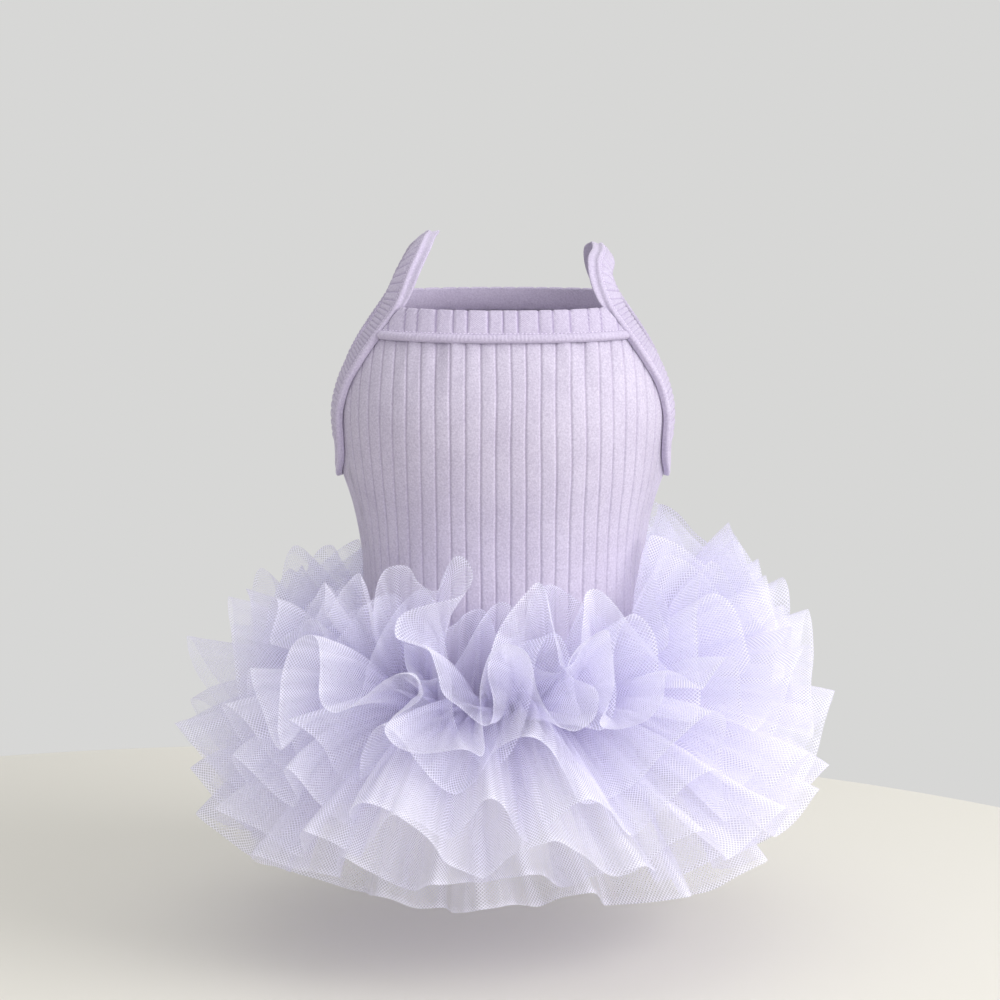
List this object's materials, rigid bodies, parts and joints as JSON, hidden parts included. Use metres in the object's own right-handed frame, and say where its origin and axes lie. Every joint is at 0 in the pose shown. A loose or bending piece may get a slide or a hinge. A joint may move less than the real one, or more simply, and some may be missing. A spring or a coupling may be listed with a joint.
{
  "type": "dog dress",
  "caption": "Small dog's dress: rib knit bodice with bound neck and leg openings, two shoulder straps and a full skirt of ruffled tulle.",
  "frame": {"origin": "on the axis of the body hollow, at the height of the strap tops that rest on the dog's shoulders", "axes": "+Z towards the dog's head, -Y towards the dog's back, +X towards the dog's right"},
  "size_m": [0.2449, 0.2393, 0.2376],
  "materials": {
    "rib_knit": "soft matt heathered lavender rib knit",
    "knit_binding": "matt ribbed binding with a stitched roll",
    "tulle": "sheer pale lavender nylon net"
  },
  "bodies": {
    "root": {"back_panel": "rib_knit", "belly_panel": "rib_knit", "back_neck_band": "knit_binding", "belly_neck_band": "knit_binding", "strap_left": "knit_binding", "strap_right": "knit_binding", "tulle_tier_crest": "tulle", "tulle_tier_upper": "tulle", "tulle_tier_middle": "tulle", "tulle_tier_lower": "tulle", "tulle_tier_hem": "tulle"}
  },
  "joints": []
}
